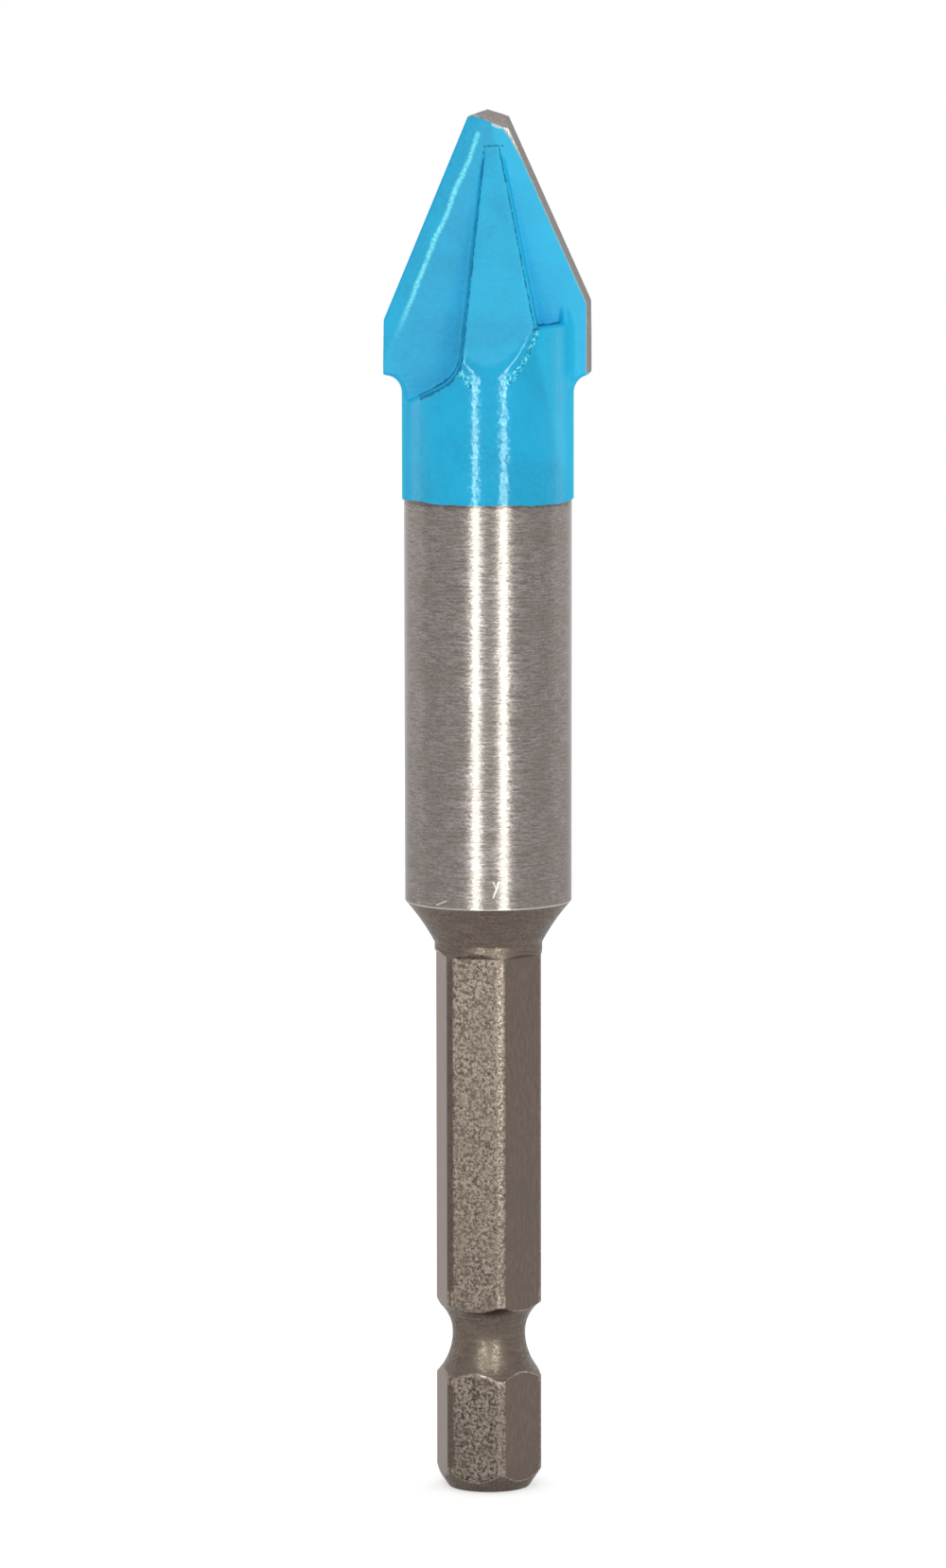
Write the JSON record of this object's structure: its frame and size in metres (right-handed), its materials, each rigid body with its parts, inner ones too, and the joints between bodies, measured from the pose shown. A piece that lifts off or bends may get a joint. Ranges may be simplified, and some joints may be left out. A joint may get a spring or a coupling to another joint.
{
  "type": "glass and tile drill bit",
  "caption": "Spear-point carbide-tipped bit for glass and tile, with a blue dip-coated head, a ground round body and a hexagonal quick-change shank with a detent groove.",
  "frame": {"origin": "centre of the shank's end face, on the surface that the bit stands on", "axes": "+Z along the axis to the tip, -Y towards the side with the front rib, square to the carbide plate's face, +X across the plate"},
  "size_m": [0.0132, 0.0108, 0.0889],
  "materials": {
    "shank_steel": "body fine ground round its axis, shank blasted and darker",
    "carbide": "fine ground dark grey tungsten carbide, bare along the relief faces",
    "braze": "dull braze alloy, under the coating",
    "blue_coating": "thin satin dip coating over the head, with a wavy lower edge"
  },
  "bodies": {
    "root": {"steel_shank": "shank_steel", "carbide_tip": "carbide", "braze_joint": "braze"}
  },
  "joints": []
}
